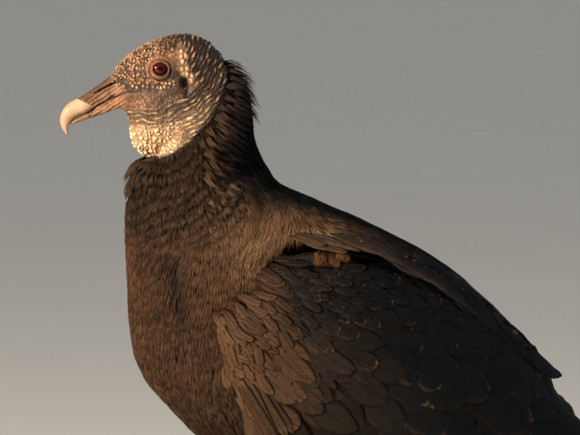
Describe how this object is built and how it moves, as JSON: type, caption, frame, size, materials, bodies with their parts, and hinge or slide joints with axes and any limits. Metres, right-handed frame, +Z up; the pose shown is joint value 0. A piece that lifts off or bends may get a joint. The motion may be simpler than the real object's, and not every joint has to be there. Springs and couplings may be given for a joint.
{
  "type": "black vulture",
  "caption": "Black vulture, adult, life size: a still museum model standing with folded wings, drawn-up feathered neck and bare wrinkled head in profile.",
  "frame": {"origin": "middle of the bird's box, on the ground under its feet", "axes": "+Z up, -Y the way the bird faces, +X its left side"},
  "size_m": [0.1814, 0.4662, 0.4635],
  "materials": {
    "bare_skin": "dry, wrinkled and warty grey-brown skin, paler on the throat and forehead",
    "ivory_bill": "smooth ivory horn",
    "dark_bill": "brown horn with a pale tip",
    "eye": "wet, dark red-brown iris round a black pupil",
    "soft_plumage": "hair-like sooty brown-black body feathers",
    "wing_feathers": "smooth blackish vanes with worn brown edges",
    "scaled_leg": "pale grey scaled skin",
    "claw": "dark blunt horn"
  },
  "bodies": {
    "root": {"head": "bare_skin", "bill_upper": "ivory_bill", "bill_lower": "dark_bill", "eye_left": "eye", "eye_right": "eye", "neck": "soft_plumage", "trunk": "soft_plumage", "thigh_left": "soft_plumage", "thigh_right": "soft_plumage", "mantle": "wing_feathers", "wing_arm_left": "wing_feathers", "wing_arm_right": "wing_feathers", "tertials_left": "wing_feathers", "tertials_right": "wing_feathers", "secondaries_left": "wing_feathers", "secondaries_right": "wing_feathers", "primaries_left": "wing_feathers", "primaries_right": "wing_feathers", "tail": "wing_feathers", "shank_left": "scaled_leg", "shank_right": "scaled_leg", "foot_left": "scaled_leg", "foot_right": "scaled_leg", "claw_middle_left": "claw", "claw_middle_right": "claw", "claw_inner_left": "claw", "claw_inner_right": "claw", "claw_outer_left": "claw", "claw_outer_right": "claw", "claw_hind_left": "claw", "claw_hind_right": "claw"}
  },
  "joints": []
}
